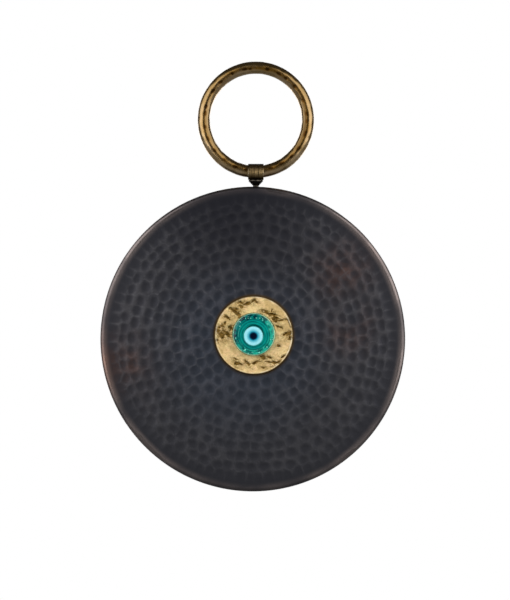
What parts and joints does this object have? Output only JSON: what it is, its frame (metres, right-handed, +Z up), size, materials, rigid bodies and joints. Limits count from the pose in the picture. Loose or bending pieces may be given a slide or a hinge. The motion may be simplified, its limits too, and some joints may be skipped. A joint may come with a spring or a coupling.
{
  "type": "evil eye wall ornament",
  "caption": "Hammered round metal pan with a glass evil eye in a brass medallion, hung by a screwed strap that swings on a ring.",
  "frame": {"origin": "top of the hanging ring's inside, where a wall hook carries the ornament, in the middle of the ring's wire", "axes": "+Z up, -Y out of the decorated face, +Y towards the wall, +X to the viewer's right"},
  "size_m": [0.2, 0.0213, 0.2821],
  "materials": {
    "ring_brass": "hammered, antiqued dark in the hollows, rubbed bright on the flanks",
    "strap_brass": "brushed lengthwise, antiqued",
    "collar_bronze": "turned, darkened",
    "fastener_steel": "bright zinc plated",
    "pan_copper": "hammered copper, oxidised blue-black, coppery where rubbed",
    "medallion_brass": "pale gold, scorched hollows, worn bright high spots",
    "adhesive": "cured epoxy",
    "teal_glass": "deep teal glass with fine glitter near the edge, polished",
    "pale_glass": "opaque white to pale blue glass, polished",
    "blue_glass": "opaque mid-blue glass, polished",
    "navy_glass": "opaque navy glass, polished"
  },
  "bodies": {
    "ring": {"hanging_ring": "ring_brass"},
    "ornament": {"ring_strap": "strap_brass", "hanger_screw": "fastener_steel", "hanger_collar": "collar_bronze", "hanger_washer": "fastener_steel", "hanger_nut": "fastener_steel", "face_pan": "pan_copper", "medallion": "medallion_brass", "medallion_screw": "fastener_steel", "medallion_washer": "fastener_steel", "medallion_nut": "fastener_steel", "bead_adhesive": "adhesive", "bead_body": "teal_glass", "iris_disc": "pale_glass", "iris_inner": "blue_glass", "pupil": "navy_glass"}
  },
  "joints": [
    {"name": "ring_swing", "type": "hinge", "parent": "ring", "child": "ornament", "pos_m": [0, 0, -0.0645], "axis": [1, 0, 0], "range_deg": [-146, 140]}
  ]
}
